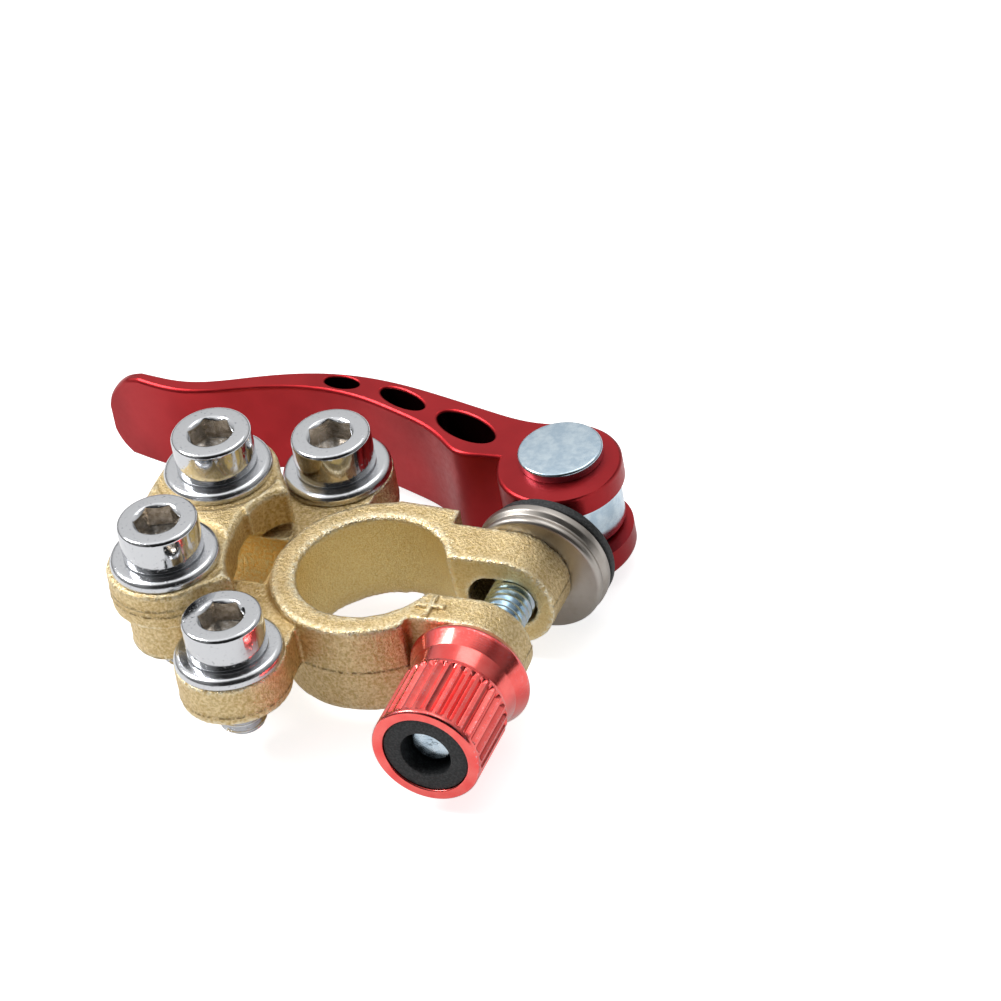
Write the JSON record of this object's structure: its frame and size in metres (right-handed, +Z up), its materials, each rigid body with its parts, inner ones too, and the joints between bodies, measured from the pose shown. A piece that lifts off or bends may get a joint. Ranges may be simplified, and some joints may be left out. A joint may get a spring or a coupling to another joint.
{
  "type": "battery terminal clamp",
  "caption": "Split-ring battery terminal clamp with a quick-release cam lever, fluted thumb nut, bolted cable cap and side lugs for ring terminals.",
  "frame": {"origin": "centre of the post bore at the ring's lower face", "axes": "+Z up the battery post, +X from the ring to its split ears, the clamp rod along Y"},
  "size_m": [0.0745, 0.0598, 0.0264],
  "materials": {
    "cast_brass": "sand-cast satin brass with fine grain",
    "chrome_plate": "bright chromed screws and washers",
    "zinc_plate": "blue zinc plating",
    "red_lever_anodise": "satin red anodised",
    "red_nut_anodise": "bright red anodised",
    "polished_steel": "polished pressed steel",
    "black_plastic": "matt black moulded plastic"
  },
  "bodies": {
    "clamp": {"clamp_body": "cast_brass", "cable_cap": "cast_brass", "cable_screw_far": "chrome_plate", "cable_screw_near": "chrome_plate", "side_screw_far": "chrome_plate", "side_screw_near": "chrome_plate", "cable_washer_far": "chrome_plate", "cable_washer_near": "chrome_plate", "side_washer_far": "chrome_plate", "side_washer_near": "chrome_plate", "cup_washer": "polished_steel"},
    "rod": {"clamp_rod": "zinc_plate", "cam_saddle": "black_plastic"},
    "nut": {"thumb_nut": "red_nut_anodise", "lock_insert": "black_plastic"},
    "lever": {"cam_lever": "red_lever_anodise", "pivot_pin": "zinc_plate"}
  },
  "joints": [
    {"name": "rod_turn", "type": "hinge", "parent": "clamp", "child": "rod", "pos_m": [0.016, 0, 0.0063], "axis": [0, 1, 0], "range_deg": [0, 180]},
    {"name": "lever_swing", "type": "hinge", "parent": "rod", "child": "lever", "pos_m": [0.016, 0.0238, 0.0063], "axis": [0, 0, -1], "range_deg": [0, 150]},
    {"name": "nut_spin", "type": "hinge", "parent": "rod", "child": "nut", "pos_m": [0.016, -0.017, 0.0063], "axis": [0, 1, 0], "continuous": true}
  ]
}
